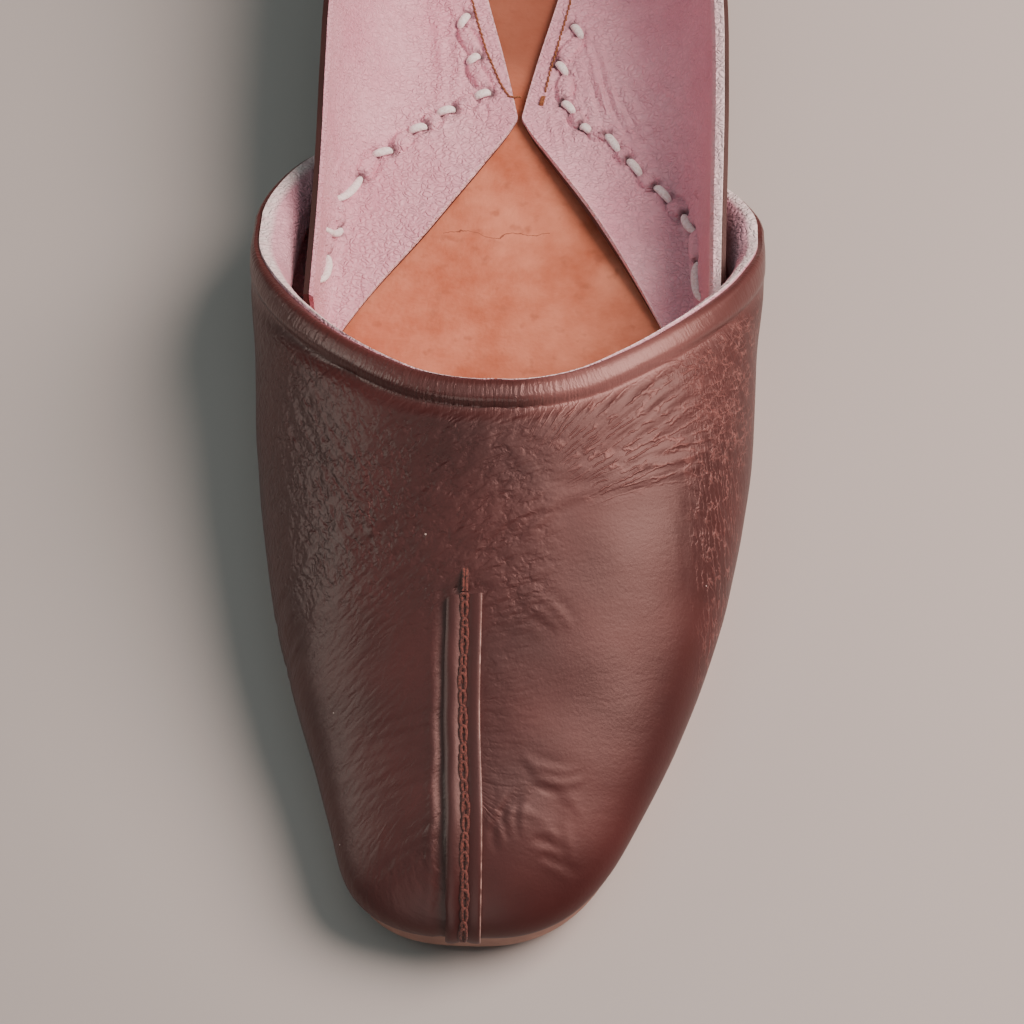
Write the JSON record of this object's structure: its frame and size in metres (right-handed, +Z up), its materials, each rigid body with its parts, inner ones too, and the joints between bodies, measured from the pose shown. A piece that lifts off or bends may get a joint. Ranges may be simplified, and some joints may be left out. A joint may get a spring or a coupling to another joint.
{
  "type": "jutti",
  "caption": "Left leather jutti: flat sole, tan insole, rolled throat, wings over lined quarters and a sewn toe strip; a foot slips in at the open collar.",
  "frame": {"origin": "on the floor, below the middle of the shoe's bounding box", "axes": "+Y runs from toe to heel, +X to the wearer's outer (lateral) side, +Z up from the floor"},
  "size_m": [0.0968, 0.2717, 0.0543],
  "materials": {
    "sole_leather": "burnished edge, matt flesh-brown face",
    "tan_leather": "matt vegetable-tanned, finely cracked",
    "maroon_leather": "waxed oxblood, semi-gloss, finely creased, with a pale mauve lining",
    "maroon_strip": "waxed oxblood with a cut edge",
    "mauve_lining": "soft matt glove leather with fine grain",
    "white_thread": "thick twisted cotton",
    "brown_thread": "thin twisted thread"
  },
  "bodies": {
    "root": {"outsole": "sole_leather", "insole": "tan_leather", "upper": "maroon_leather", "toe_strip": "maroon_strip"}
  },
  "joints": []
}
